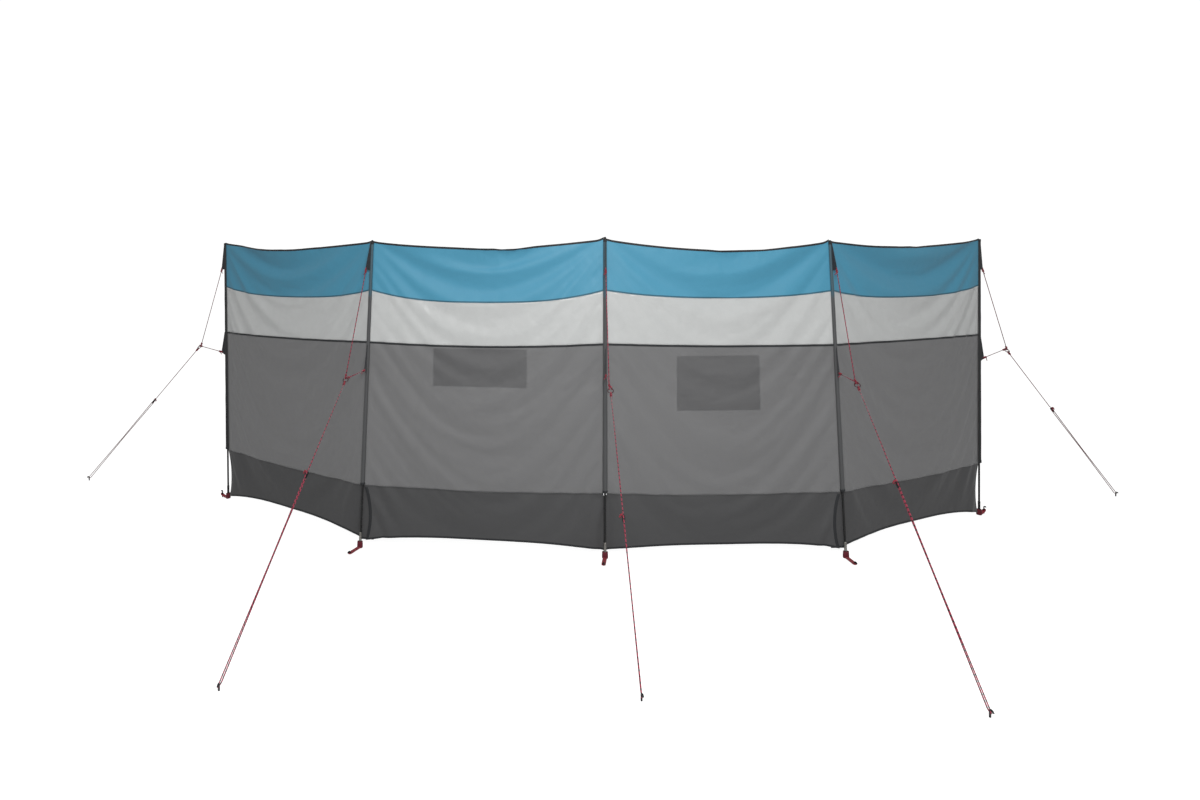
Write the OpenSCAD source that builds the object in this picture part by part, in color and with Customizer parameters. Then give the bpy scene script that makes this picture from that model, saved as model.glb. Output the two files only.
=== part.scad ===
// Beach windbreak: five poles in cloth sleeves, four bays of cloth between them, each
// sewn from four bands, and a forked guy line from every pole to a ground peg.
// Millimetres, +Z up. The origin is the middle of the centre pole's flat lower end,
// on the ground. +X runs along the row of poles and +Y points to the sheltered side.

/* [Poles] */
// Height of the pole tips above the ground
pole_h = 1400; // [1380:5:1450]
// Diameter of the pole rods
pole_d = 9.5; // [8:0.5:10.5]
// Diameter of the metal ferrule on each lower end
ferrule_d = 12; // [11.5:0.5:13]
// Length of the ferrules
ferrule_len = 69; // [50:1:90]
// Height of the domed plug on each tip
cap_h = 12; // [8:1:20]
// Diameter of the cloth sleeves at the skirt seam
sleeve_low_d = 21; // [18:1:24]
// Diameter of the cloth sleeves at the top edge
sleeve_top_d = 15; // [13:1:18]

/* [Cloth] */
// Height of the top edge at the poles
hem_z = 1388; // [1365:1:1388]
// Height of the seam between the blue band and the window
blue_seam_z = 1163; // [1100:1:1240]
// Height of the seam between the window and the wall
window_seam_z = 930; // [880:5:1000]
// Height of the seam between the wall and the skirt, where the sleeves end
skirt_seam_z = 278; // [220:1:340]
// Height of the skirt's lower corners above the ground
foot_z = 28; // [22:1:45]
// Thickness that stands for the cloth
cloth_t = 4; // [3:0.5:6]
// Thickness of the bindings and the seam tape
binding_t = 6; // [5:0.5:8]
// Height of the bindings and the seam tape
binding_h = 9; // [6:1:14]
// How far each bay bellies out of line
belly = 15; // [0:1:40]

/* [Guys] */
// Diameter of the guy cord
cord_d = 4; // [2:0.5:5]
// Outer diameter of the guy rings
ring_d = 27; // [22:1:34]
// Diameter of the ground pegs
peg_d = 6; // [4:0.5:6.5]
// Height of the guys' pegs above the ground
peg_h = 25; // [23:1:40]

/* [Hidden] */
POLES = [0:4];
BAYS = [0:3];

$fn = 32;

// Where each pole stands, how far its tip leans from there, and how far it is set
// above or below the height that pole_h gives
FEET = [[-1940, 850], [-1090, 125], [0, 0], [1053, 5], [2005, 575]];
LEAN = [[-16, 0], [50, 40], [0, 0], [-35, 80], [0, 0]];
POLE_RISE = [3, -5, 2, -7, 14];
// How far each edge and seam stands above its driving height, pole by pole
HEM_RISE = [13, -1, 4, -3, 25];
BLUE_SEAM_RISE = [-3, -1, 3, -1, 11];
WINDOW_SEAM_RISE = [-15, 1, 7, -2, -3];
SKIRT_SEAM_RISE = [-8, 2, 5, 4, -12];
FOOT_RISE = [-12, 8, 2, 12, -12];
// How far each edge or seam hangs below the line between its poles, bay by bay, and
// how far the lower edge arches above it
HEM_SAG = [16, 20, 32, 10];
BLUE_SEAM_SAG = [35, 47, 24, 34];
WINDOW_SEAM_SAG = [0, 9, 0, -5];
FOOT_ARCH = [48, 31, 30, 48];
// Each pocket's extent along its bay, and its heights
POCKET_2 = [0.285, 0.685, 736, 905];
POCKET_3 = [0.3, 0.665, 642, 880];
POCKET_T = 6;

// Guy lines: headings of the top tab, of the lower tab and the ring, and of the
// anchor; the reach and height of the ring, the anchor's reach, and the slider's place
TOP_TAB_HEADING = [150, 225, 267, 293, 28];
GUY_HEADING = [160, 256, 267, 266, 18];
ANCHOR_HEADING = [160, 259, 267, 263, 18];
RING_OUT = [185, 227, 225, 218, 194];
RING_Z = [824, 789, 768, 782, 835];
ANCHOR_OUT = [1010, 1168, 1076, 1168, 1010];
SLIDER_AT = [0.4, 0.39, 0.5, 0.39, 0.4];
// Reach and height of the tabs' free ends
TOP_TAB = [30, 1262];
MID_TAB = [32, 802];
// Feet: heading, reach and height of each foot peg, and how far the webbing tongue
// climbs on its way there
FOOT_HEADING = [150, 248, 257, 271, 30];
FOOT_REACH = [46, 83, 81, 76, 46];
FOOT_PEG_H = [38, 16, 16, 16, 38];
TONGUE_RISE = [16, 0, 0, 0, 16];

fit_gap = 0.15;
sewn_gap = 0.4;
socket_depth = 45;
dome_h = 3;
ring_wire = 4;
cord_gap = 8;
tab_t = 3;
cup_size = [18, 25, 30];
cup_t = 2.4;
tongue_w = 18;
tongue_t = 4;
tongue_z = 3;
hook_len = 12;
corner_gap = 14;
edge_bow = 25;
back_gap = 9.5;
skirt_flap = [6, 60];
slider_size = [12, 30, 4];
slider_hole = 4.5;
slider_pitch = 9;
anchor_z = 14;
columns = 12;

function tilt(i) = atan(norm(LEAN[i]) / pole_h);
function lean_heading(i) = atan2(LEAN[i].y, LEAN[i].x);
function lift(i) = ferrule_d / 2 * sin(tilt(i));
function axis_at(i, z) = [for (k = [0, 1]) FEET[i][k] + LEAN[i][k] * z / pole_h];
function out_from(i, h, out, z) = let (a = axis_at(i, z))
    [a.x + out * cos(h), a.y + out * sin(h), z];
function ring_at(i) = out_from(i, GUY_HEADING[i], RING_OUT[i], RING_Z[i]);
function anchor_at(i) = let (h = ANCHOR_HEADING[i])
    [FEET[i].x + ANCHOR_OUT[i] * cos(h), FEET[i].y + ANCHOR_OUT[i] * sin(h), anchor_z];
function between(a, b, t) = a + (b - a) * t;
function unit(v) = v / norm(v);
function slider_at(i) = between(ring_at(i), anchor_at(i), SLIDER_AT[i]);
function guy_down(i) = unit(anchor_at(i) - ring_at(i));
// The direction square to guy i in its upright plane
function guy_over(i) = unit(cross(guy_down(i), [-sin(ANCHOR_HEADING[i]), cos(ANCHOR_HEADING[i]), 0]));
function bow(s, power = 2) = 1 - pow(abs(2 * s - 1), power);
function ease(t) = let (x = min(1, max(0, t))) x * x * (3 - 2 * x);

// Heights of the edges and seams at pole i, and along bay b at share s of its width
function tip_at(i) = pole_h + POLE_RISE[i];
function hem_at(i) = hem_z + HEM_RISE[i];
function skirt_seam_at(i) = skirt_seam_z + SKIRT_SEAM_RISE[i];
function edge(b, s, z, rise) = z + between(rise[b], rise[b + 1], s);
function hem_edge(b, s) = edge(b, s, hem_z, HEM_RISE) - HEM_SAG[b] * bow(s);
function blue_edge(b, s) = edge(b, s, blue_seam_z, BLUE_SEAM_RISE) - BLUE_SEAM_SAG[b] * bow(s, 3);
function window_edge(b, s) = edge(b, s, window_seam_z, WINDOW_SEAM_RISE) - WINDOW_SEAM_SAG[b] * bow(s);
function skirt_edge(b, s) = edge(b, s, skirt_seam_z, SKIRT_SEAM_RISE);
function foot_edge(b, s) = edge(b, s, foot_z, FOOT_RISE) + FOOT_ARCH[b] * bow(s, 3);

function sleeve_r(i, z) = let (low = skirt_seam_at(i))
    between(sleeve_low_d, sleeve_top_d, (z - low) / (hem_at(i) - low)) / 2;
// The skirts of the first two bays pass behind the bare pole on their right, and those
// of the last two behind the one on their left. Their other edges bow away from it.
function is_behind(b, i) = (b < 2) == (i == b + 1);
function side_gap(b, i, z, bare) =
    let (beside = sleeve_r(i, z) + sewn_gap, v = min(1, z / (skirt_seam_at(i) - 1)))
    !bare ? beside : is_behind(b, i) ? (i == 2 ? 2 : skirt_flap[0])
        : between(corner_gap, beside, v) + edge_bow * bow(v);
function back_off(b, s) = back_gap * ease(((b < 2 ? s : 1 - s) - 1 + 1 / columns) * columns);
// A point of bay b's cloth at share s of its width and height z, out of line by off
function cloth(b, s, z, off, bare = false) =
    let (p = axis_at(b, z), q = axis_at(b + 1, z), u = unit(q - p))
    let (left = side_gap(b, b, z, bare), right = side_gap(b, b + 1, z, bare))
    let (at = p + u * (left + s * (norm(q - p) - left - right)))
    let (out = off - belly * bow(s) + (bare ? back_off(b, s) : 0))
    [at.x - u.y * out, at.y + u.x * out, z];
// A point of the flap that an end bay's skirt carries on behind its neighbour b, at
// reach e past pole i
function flap(b, i, e, z, off) =
    let (p = axis_at(i, z), u = unit(axis_at(b + 1, z) - axis_at(b, z)), turn = i == b ? 1 : -1)
    let (share = (e - skirt_flap[0]) / (skirt_flap[1] - skirt_flap[0]))
    let (out = off + between(back_gap, back_gap - 3, share))
    [p.x + u.x * e * turn - u.y * out, p.y + u.y * e * turn + u.x * out, z];

module at_pole(i) {
    translate([FEET[i].x, FEET[i].y, lift(i)])
        rotate([0, tilt(i), lean_heading(i)]) rotate([0, 0, -lean_heading(i)]) children();
}

// A straight cord of diameter d from point a to point b
module cord(a, b, d) {
    v = b - a;
    translate(a) rotate([0, acos(v.z / norm(v)), atan2(v.y, v.x)])
        cylinder(d = d, h = norm(v), $fn = 16);
}

// A closed sheet of thickness t. near and far hold its two faces' points, row by row.
module sheet(near, far) {
    rows = len(near);
    cols = len(near[0]);
    n = rows * cols;
    quads = [for (r = [0:rows - 2], c = [0:cols - 2])
        [r * cols + c, r * cols + c + 1, (r + 1) * cols + c + 1, (r + 1) * cols + c]];
    rim = concat(
        [for (c = [0:cols - 2]) [c, c + 1]],
        [for (r = [0:rows - 2]) [r * cols + cols - 1, (r + 1) * cols + cols - 1]],
        [for (c = [cols - 1:-1:1]) [(rows - 1) * cols + c, (rows - 1) * cols + c - 1]],
        [for (r = [rows - 1:-1:1]) [r * cols, (r - 1) * cols]]
    );
    faces = concat(
        [for (q = quads) each [[q[0], q[2], q[1]], [q[0], q[3], q[2]]]],
        [for (q = quads) each [[n + q[0], n + q[1], n + q[2]], [n + q[0], n + q[2], n + q[3]]]],
        [for (e = rim) each [[e[0], e[1], n + e[1]], [e[0], n + e[1], n + e[0]]]]
    );
    polyhedron([for (r = near) each r, for (r = far) each r], faces);
}

// A band of bay b from s0 to s1, between a lower and an upper height at each share
module band(b, lower, upper, t, off = 0, s0 = 0, s1 = 1) {
    shares = along(s0, s1);
    function face(side) = [for (v = [0, 0.5, 1]) [for (k = [0:columns])
        cloth(b, shares[k], between(lower[k], upper[k], v), off + side * t / 2)]];
    sheet(face(-1), face(1));
}
function along(s0 = 0, s1 = 1) = [for (c = [0:columns]) between(s0, s1, c / columns)];

module pole(i) {
    color("#101012") at_pole(i)
        translate([0, 0, ferrule_len - socket_depth])
            cylinder(d = pole_d, h = tip_at(i) - cap_h - ferrule_len + socket_depth);
}

module pole_ferrules() {
    color("#b8b6b0") for (i = POLES) at_pole(i) difference() {
        cylinder(d = ferrule_d, h = ferrule_len);
        translate([0, 0, ferrule_len - socket_depth])
            cylinder(d = pole_d + 2 * fit_gap, h = socket_depth + 1);
    }
}

// Domed plugs in the tips of the poles
module pole_caps() {
    color("#161618") for (i = POLES) at_pole(i) translate([0, 0, tip_at(i) - cap_h]) {
        cylinder(d = pole_d, h = cap_h - dome_h);
        translate([0, 0, cap_h - dome_h])
            cylinder(d1 = pole_d, d2 = pole_d - 2 * dome_h, h = dome_h);
    }
}

module sleeve(i) {
    foot = skirt_seam_at(i) + 2;
    height = hem_at(i) - foot;
    color("#47494c") at_pole(i) translate([0, 0, foot]) difference() {
        cylinder(d1 = sleeve_low_d, d2 = sleeve_top_d, h = height);
        translate([0, 0, -1]) cylinder(d = pole_d + 4 * fit_gap, h = height + 2);
    }
}

module blue_band(b) {
    color("#4a95b5") band(b, [for (s = along()) blue_edge(b, s)],
        [for (s = along()) hem_edge(b, s) - binding_h], cloth_t);
}

module window(b) {
    color("#babcbb") band(b, [for (s = along()) window_edge(b, s)],
        [for (s = along()) blue_edge(b, s)], cloth_t);
}

module wall(b) {
    color("#747475") band(b, [for (s = along()) skirt_edge(b, s)],
        [for (s = along()) window_edge(b, s) - binding_h], cloth_t);
}

// A sheet along the bare lower part of bay b, which carries on past an inner pole as a
// flap on the outermost bays
module bare_band(b, lower, upper, t) {
    pole = b == 0 ? 1 : 3;
    last = b == 0 ? columns : 0;
    function row(v, off) = let (
        own = [for (c = [0:columns]) cloth(b, c / columns, between(lower[c], upper[c], v), off, true)],
        extra = [for (e = skirt_flap)
            flap(b == 0 ? 1 : 2, pole, e, between(lower[last], upper[last], v), off)]
    ) b == 0 ? concat(own, extra) : b == 3 ? concat([extra[1], extra[0]], own) : own;
    function face(side) = [for (v = [0, 0.5, 1]) row(v, side * t / 2)];
    sheet(face(-1), face(1));
}

module skirt(b) {
    color("#494949") bare_band(b, [for (s = along()) foot_edge(b, s) + binding_h],
        [for (s = along()) skirt_edge(b, s) - 1], cloth_t);
}

module top_binding() {
    color("#2c2f33") for (b = BAYS) band(b, [for (s = along()) hem_edge(b, s) - binding_h],
        [for (s = along()) hem_edge(b, s)], binding_t);
}

module seam_tape() {
    color("#38393b") for (b = BAYS) band(b, [for (s = along()) window_edge(b, s) - binding_h],
        [for (s = along()) window_edge(b, s)], binding_t);
}

module bottom_binding() {
    color("#363638") for (b = BAYS) bare_band(b, [for (s = along()) foot_edge(b, s)],
        [for (s = along()) foot_edge(b, s) + binding_h], binding_t);
}

// A flat pocket on the sheltered face of bay b, as it lies when empty
module pocket(b, p) {
    color("#626264") band(b, [for (s = along()) p[2]], [for (s = along()) p[3]],
        POCKET_T, (cloth_t + POCKET_T) / 2 + sewn_gap, p[0], p[1]);
}

// A flat tab on sleeve i in the upright plane of the heading. Its seam runs from
// height low to height high, and its free end is at tip, given as reach and height.
module tab(i, heading, low, high, tip) {
    color("#3a3d42") at_pole(i) rotate([90, 0, heading])
        linear_extrude(tab_t, center = true) polygon([
            [sleeve_r(i, low) + sewn_gap, low], [tip.x - 4, tip.y - 4],
            [tip.x + 1, tip.y + 6], [sleeve_r(i, low) + sewn_gap, high]
        ]);
}

module top_tabs() {
    for (i = POLES) tab(i, TOP_TAB_HEADING[i], TOP_TAB.y - 6, hem_at(i) - 4, TOP_TAB);
}

module mid_tabs() {
    for (i = POLES) tab(i, GUY_HEADING[i], MID_TAB.y - 16, window_seam_z - binding_h - 6, MID_TAB);
}

module guy_rings() {
    color("#3a2024") for (i = POLES) let (over = guy_over(i))
        translate(ring_at(i)) rotate([0, acos(over.z), atan2(over.y, over.x)]) rotate_extrude()
            translate([(ring_d - ring_wire) / 2, 0]) circle(d = ring_wire, $fn = 16);
}

module guy_line(i) {
    ring = ring_at(i);
    slider = slider_at(i);
    anchor = anchor_at(i);
    down = guy_down(i);
    over = guy_over(i) * cord_gap / 2;
    clear = ring_d / 2 + cord_d / 2 + 1;
    top = out_from(i, TOP_TAB_HEADING[i], TOP_TAB.x + 5, TOP_TAB.y);
    mid = out_from(i, GUY_HEADING[i], MID_TAB.x + 6, MID_TAB.y);
    half = slider_size.y / 2 + 1;
    color("#7a2a35") {
        cord(top, ring + unit(top - ring) * clear, cord_d);
        for (k = [-1, 1]) {
            cord(mid + over * k, ring + unit(mid - ring) * clear + over * k, cord_d);
            cord(slider + down * half + over * k, anchor - down * (peg_d / 2 + 3) + over * k, cord_d);
        }
        cord(ring + down * clear, slider - down * half, cord_d);
    }
}

// A flat bar with three holes, lying along the cord
module guy_sliders() {
    straight = slider_size.y - slider_size.x;
    color("#2a2b2e") for (i = POLES) {
        v = anchor_at(i) - ring_at(i);
        translate(slider_at(i)) rotate([0, acos(v.z / norm(v)), atan2(v.y, v.x)])
            rotate([0, 90, 0]) translate([0, 0, -slider_size.z / 2])
                linear_extrude(slider_size.z) difference() {
                    union() {
                        square([straight, slider_size.x], center = true);
                        for (k = [-1, 1]) translate([k * straight / 2, 0]) circle(d = slider_size.x);
                    }
                    for (k = [-1, 0, 1]) translate([k * slider_pitch, 0]) circle(d = slider_hole);
                }
    }
}

// A rod peg standing in the ground, with a hooked head that points away from the pull
module peg(heading, height) {
    rotate([0, 0, heading]) {
        cylinder(d = peg_d, h = height - peg_d / 2);
        translate([0, 0, height - peg_d / 2]) sphere(d = peg_d);
        translate([0, 0, height - peg_d / 2]) rotate([0, 90, 0]) cylinder(d = peg_d, h = hook_len);
    }
}

module ground_pegs() {
    color("#1c1c1f") for (i = POLES) {
        anchor = anchor_at(i);
        translate([anchor.x, anchor.y, 0]) peg(ANCHOR_HEADING[i], peg_h);
        translate([FEET[i].x, FEET[i].y, 0]) rotate([0, 0, FOOT_HEADING[i]])
            translate([FOOT_REACH[i], 0, 0]) peg(0, FOOT_PEG_H[i]);
    }
}

module stadium(w, l) {
    square([w, l - w], center = true);
    for (k = [-1, 1]) translate([0, k * (l - w) / 2]) circle(d = w);
}

// A webbing cup that the ferrule stands in, through an eyelet in its bottom
module foot_straps() {
    color("#5a1a24") for (i = POLES) at_pole(i) rotate([0, 0, FOOT_HEADING[i]]) difference() {
        linear_extrude(cup_size.z) stadium(cup_size.x, cup_size.y);
        translate([0, 0, cup_t]) linear_extrude(cup_size.z)
            stadium(cup_size.x - 2 * cup_t, cup_size.y - 2 * cup_t);
        translate([0, 0, -1]) cylinder(d = ferrule_d + 4 * fit_gap, h = cup_t + 2);
    }
}

// A webbing tongue that leads from the cup to the foot peg, through an eyelet
module foot_loops() {
    start = cup_size.x / 2 + sewn_gap + 1;
    steps = [0:8];
    color("#8a1826") for (i = POLES) translate([FEET[i].x, FEET[i].y, 0])
        rotate([0, 0, FOOT_HEADING[i]]) {
            reach = FOOT_REACH[i];
            x = [for (k = steps) between(start, reach + tongue_w / 2, k / 8)];
            z = [for (k = steps) tongue_z + TONGUE_RISE[i] * pow(k / 8, 2)];
            intersection() {
                linear_extrude(60) difference() {
                    union() {
                        translate([start, -tongue_w / 2]) square([reach - start, tongue_w]);
                        translate([reach, 0]) circle(d = tongue_w);
                    }
                    translate([reach, 0]) circle(d = peg_d + 1);
                }
                rotate([90, 0, 0]) linear_extrude(tongue_w + 2, center = true) polygon(concat(
                    [for (k = steps) [x[k], z[k]]],
                    [for (k = steps) [x[8 - k], z[8 - k] + tongue_t]]
                ));
            }
        }
}

for (i = POLES) pole(i);
for (i = POLES) sleeve(i);
for (b = BAYS) blue_band(b);
for (b = BAYS) window(b);
for (b = BAYS) wall(b);
for (b = BAYS) skirt(b);
for (i = POLES) guy_line(i);
pole_ferrules();
pole_caps();
pocket(1, POCKET_2);  // pocket_2
pocket(2, POCKET_3);  // pocket_3
top_binding();
seam_tape();
bottom_binding();
top_tabs();
mid_tabs();
guy_rings();
guy_sliders();
ground_pegs();
foot_straps();
foot_loops();
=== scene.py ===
"""Beach windbreak: the cloth, cords and fittings, built around the frame's poles and seams.

Every length is in metres, in the frame's own axes: +X along the row of poles, +Y to the
sheltered side, +Z up, with the centre pole's foot at the origin.
"""

import math

import bmesh
import bpy
from bpy.props import FloatProperty, FloatVectorProperty, IntProperty, PointerProperty
from mathutils import Matrix, Vector, noise
from mathutils.bvhtree import BVHTree


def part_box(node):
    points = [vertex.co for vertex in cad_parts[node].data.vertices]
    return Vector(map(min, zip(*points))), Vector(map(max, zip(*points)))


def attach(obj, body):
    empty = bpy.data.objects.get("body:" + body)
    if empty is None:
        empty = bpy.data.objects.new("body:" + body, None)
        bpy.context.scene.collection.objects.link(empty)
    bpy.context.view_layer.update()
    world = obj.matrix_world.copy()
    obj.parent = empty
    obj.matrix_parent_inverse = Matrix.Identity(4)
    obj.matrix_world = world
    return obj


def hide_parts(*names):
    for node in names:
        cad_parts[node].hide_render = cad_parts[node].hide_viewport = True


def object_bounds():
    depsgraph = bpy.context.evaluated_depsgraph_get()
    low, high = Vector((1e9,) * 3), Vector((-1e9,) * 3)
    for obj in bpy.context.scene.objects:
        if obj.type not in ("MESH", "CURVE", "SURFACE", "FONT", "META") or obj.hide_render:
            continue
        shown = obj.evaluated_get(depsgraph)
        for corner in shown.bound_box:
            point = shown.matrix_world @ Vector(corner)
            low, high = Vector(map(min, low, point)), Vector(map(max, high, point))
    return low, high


bl_info = {
    "name": "Beach Windbreak",
    "version": (1, 0, 0),
    "blender": (4, 5, 0),
    "location": "3D View > Sidebar > Windbreak",
    "description": "Dresses a framed windbreak in cloth, cords and fittings",
    "category": "Object",
}

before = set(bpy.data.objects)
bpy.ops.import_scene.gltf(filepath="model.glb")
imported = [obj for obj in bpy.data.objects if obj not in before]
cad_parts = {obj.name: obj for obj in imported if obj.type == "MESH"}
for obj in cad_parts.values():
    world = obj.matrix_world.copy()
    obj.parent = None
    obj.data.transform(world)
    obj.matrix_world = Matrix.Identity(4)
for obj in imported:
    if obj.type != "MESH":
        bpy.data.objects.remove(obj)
CAD_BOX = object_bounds()
BODY = "root"
POLES = range(1, 6)
BAYS = range(1, 5)
UP = Vector((0, 0, 1))
MM = 0.001

# The strips that a bay is cut into, from the ground up
FOOT_BINDING, SKIRT, SKIRT_SEAM, WALL, TAPE, WINDOW, BLUE_SEAM, BLUE, TOP_BINDING = range(9)


def srgb(text):
    """An sRGB hex colour as linear red, green and blue."""
    parts = [int(text[k:k + 2], 16) / 255 for k in (0, 2, 4)]
    return tuple(p / 12.92 if p <= 0.04045 else ((p + 0.055) / 1.055) ** 2.4 for p in parts)


# ---------------------------------------------------------------- settings


class WindbreakClothSettings(bpy.types.PropertyGroup):
    """Sizes of the cloth and its seams"""

    cell: FloatProperty(
        name="Cell", description="Width of one cell of the cloth's mesh",
        default=0.0135, min=0.008, max=0.05, unit="LENGTH")
    cloth_thickness: FloatProperty(
        name="Cloth thickness", description="Thickness of the coated cloth",
        default=0.0008, min=0.0003, max=0.003, unit="LENGTH")
    tape_thickness: FloatProperty(
        name="Tape thickness", description="Thickness over a folded binding or a seam tape",
        default=0.0024, min=0.001, max=0.006, unit="LENGTH")
    seam_height: FloatProperty(
        name="Seam height", description="Height of the felled seams between two cloths",
        default=0.007, min=0.004, max=0.02, unit="LENGTH")
    side_binding: FloatProperty(
        name="Side binding", description="Width of the binding on the skirts' free side edges",
        default=0.013, min=0.004, max=0.02, unit="LENGTH")
    slack: FloatProperty(
        name="Slack", description="How much longer the cloth is cut than the gap it spans",
        default=0.006, min=0.0, max=0.03, subtype="FACTOR")
    drape_frames: IntProperty(
        name="Drape frames", description="Frames of cloth simulation", default=32, min=2, max=120)
    most_move: FloatProperty(
        name="Most move", description="How far the drape may carry a point of the cloth",
        default=0.030, min=0.0, max=0.1, unit="LENGTH")


class WindbreakFittingSettings(bpy.types.PropertyGroup):
    """Sizes of the cords, tabs and webbing"""

    cord_diameter: FloatProperty(
        name="Cord diameter", description="Diameter of the braided guy cord",
        default=0.0038, min=0.002, max=0.006, unit="LENGTH")
    strap_thickness: FloatProperty(
        name="Webbing thickness", description="Thickness of the tabs and the foot cups",
        default=0.0025, min=0.001, max=0.004, unit="LENGTH")


def colour(name, text):
    return FloatVectorProperty(
        name=name, description=f"Colour of the {name.lower()}", subtype="COLOR",
        size=3, min=0.0, max=1.0, default=srgb(text))


class WindbreakColours(bpy.types.PropertyGroup):
    """Colours of the finishes"""

    blue: colour("Blue cloth", "4a95b3")
    window: colour("Window film", "c8cac9")
    wall: colour("Wall cloth", "69696a")
    skirt: colour("Skirt cloth", "484849")
    sleeve: colour("Sleeve cloth", "4a4b4c")
    end_sleeve: colour("End sleeve cloth", "1d1e20")
    binding: colour("Binding tape", "25272a")
    pocket: colour("Pocket cloth", "2c2c2e")
    tab: colour("Dark webbing", "2a2c30")
    cord: colour("Guy cord", "a8304a")
    end_cord: colour("End guy cord", "7d6c6c")
    knot: colour("Guy knots", "9c2438")
    cup: colour("Foot cup webbing", "6a1024")
    tongue: colour("Foot tongue webbing", "96182a")


# ---------------------------------------------------------------- the frame


def node_points(name):
    return [v.co.copy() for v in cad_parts[name].data.vertices]


def box_middle(points):
    return Vector([(min(p[k] for p in points) + max(p[k] for p in points)) / 2 for k in range(3)])


def plan(v):
    return Vector((v.x, v.y, 0))


def rod_ends(name):
    """The middles of an upright rod's lower and upper ends."""
    points = node_points(name)
    low, high = min(p.z for p in points), max(p.z for p in points)
    near = 2 * MM
    return (box_middle([p for p in points if p.z < low + near]),
            box_middle([p for p in points if p.z > high - near]))


AXES = {i: rod_ends(f"pole_{i}") for i in POLES}
POLE_R = (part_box("pole_3")[1].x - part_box("pole_3")[0].x) / 2


def sleeve_ends(pole):
    """A sleeve's lower and upper ends, each as its height and its outer radius."""
    found = []
    for middle in rod_ends(f"sleeve_{pole}"):
        rim = [p for p in node_points(f"sleeve_{pole}") if abs(p.z - middle.z) < 2 * MM]
        found.append((middle.z, max(plan(p - middle).length for p in rim)))
    return found


def on_axis(pole, z):
    """The point of a pole's axis at height z."""
    low, high = AXES[pole]
    return low.lerp(high, (z - low.z) / (high.z - low.z))


SLEEVES = {i: sleeve_ends(i) for i in POLES}


def sleeve_r(pole, z):
    """The outer radius of a pole's sleeve at height z."""
    (low, wide), (high, narrow) = SLEEVES[pole]
    return wide + (narrow - wide) * max(0.0, min(1.0, (z - low) / (high - low)))


def nearest_pole(point):
    return min(POLES, key=lambda i: (plan(point) - plan(on_axis(i, point.z))).length)


def points_near(node, pole, least=0.0, most=9.0):
    """A shared node's points that belong to one pole, by their reach from its axis."""
    return [p for p in node_points(node) if nearest_pole(p) == pole
            and least <= (plan(p) - plan(on_axis(pole, p.z))).length <= most]


def place_in_bay(point, bay):
    """A point's share of the way along a bay, and how far it stands out of line."""
    p, q = on_axis(bay, point.z), on_axis(bay + 1, point.z)
    run = plan(q - p)
    away = plan(point - p)
    return away.dot(run) / run.length_squared, abs(away.cross(run).z) / run.length


def heights(node, bay, where):
    """The lowest and highest points that a node has near share where of a bay's width."""
    found = []
    for p in node_points(node):
        share, out = place_in_bay(p, bay)
        if abs(share - where) < 0.045 and out < 0.06:
            found.append(p.z)
    return min(found), max(found)


# ---------------------------------------------------------------- meshes


def finished(bm, name, smooth=True):
    """A new object from a bmesh, in the scene, with its place in its mesh."""
    for face in bm.faces:
        face.smooth = smooth
    mesh = bpy.data.meshes.new(name)
    bm.to_mesh(mesh)
    bm.free()
    made = bpy.data.objects.new(name, mesh)
    bpy.context.scene.collection.objects.link(made)
    return made


def dress(piece, material, slot, *nodes):
    """Gives a piece its finish, and makes it ride on the body in place of CAD nodes."""
    piece.data.materials.append(material)
    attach(piece, BODY)
    if nodes:
        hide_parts(*nodes)
    return piece


def subdivide(piece, levels=1):
    made = piece.modifiers.new("Subdivide", "SUBSURF")
    made.levels = made.render_levels = levels
    made.boundary_smooth = "PRESERVE_CORNERS"


def solidify(piece, thickness, offset=0.0):
    made = piece.modifiers.new("Thickness", "SOLIDIFY")
    made.thickness = thickness
    made.offset = offset
    made.use_even_offset = True


def bevel(piece, width, segments=2):
    made = piece.modifiers.new("Round", "BEVEL")
    made.width = width
    made.segments = segments
    made.limit_method = "ANGLE"


def path_frames(path):
    """At each point of a path, two unit vectors square to it that don't twist about it."""
    tangents = []
    for k in range(len(path)):
        tangents.append((path[min(k + 1, len(path) - 1)] - path[max(k - 1, 0)]).normalized())
    side = tangents[0].orthogonal().normalized()
    frames = []
    for tangent in tangents:
        side = (side - tangent * side.dot(tangent)).normalized()
        frames.append((side, tangent.cross(side)))
    return frames


def join_part(bm, part):
    """Adds a finished part to a mesh, and frees the part."""
    keep = bpy.data.meshes.new("part")
    part.to_mesh(keep)
    part.free()
    bm.from_mesh(keep)
    bpy.data.meshes.remove(keep)


def add_tube(bm, path, radius, sides=8, caps=True):
    """Adds a round tube along a path. radius is a number, or a function of (row, share)."""
    bm.loops.layers.uv.verify()
    part = bmesh.new()
    part_uv = part.loops.layers.uv.verify()
    rows = len(path) - 1
    bmesh.ops.create_grid(part, x_segments=sides, y_segments=rows, size=0.5)
    frames = path_frames(path)
    lengths = [0.0]
    for a, b in zip(path, path[1:]):
        lengths.append(lengths[-1] + (b - a).length)
    size = radius if callable(radius) else (lambda row, share: radius)
    spot = {}
    for v in part.verts:
        share, row = v.co.x + 0.5, round((v.co.y + 0.5) * rows)
        spot[v] = (share, row)
    for face in part.faces:
        for loop in face.loops:
            share, row = spot[loop.vert]
            loop[part_uv].uv = (share * 2 * math.pi * size(row, share), lengths[row])
    for v, (share, row) in spot.items():
        side, other = frames[row]
        turn = 2 * math.pi * share
        v.co = path[row] + (side * math.cos(turn) + other * math.sin(turn)) * size(row, share % 1)
    bmesh.ops.remove_doubles(part, verts=part.verts, dist=1e-6)
    if caps:
        bmesh.ops.holes_fill(part, edges=[e for e in part.edges if e.is_boundary], sides=0)
    bmesh.ops.recalc_face_normals(part, faces=part.faces)
    join_part(bm, part)


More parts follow.
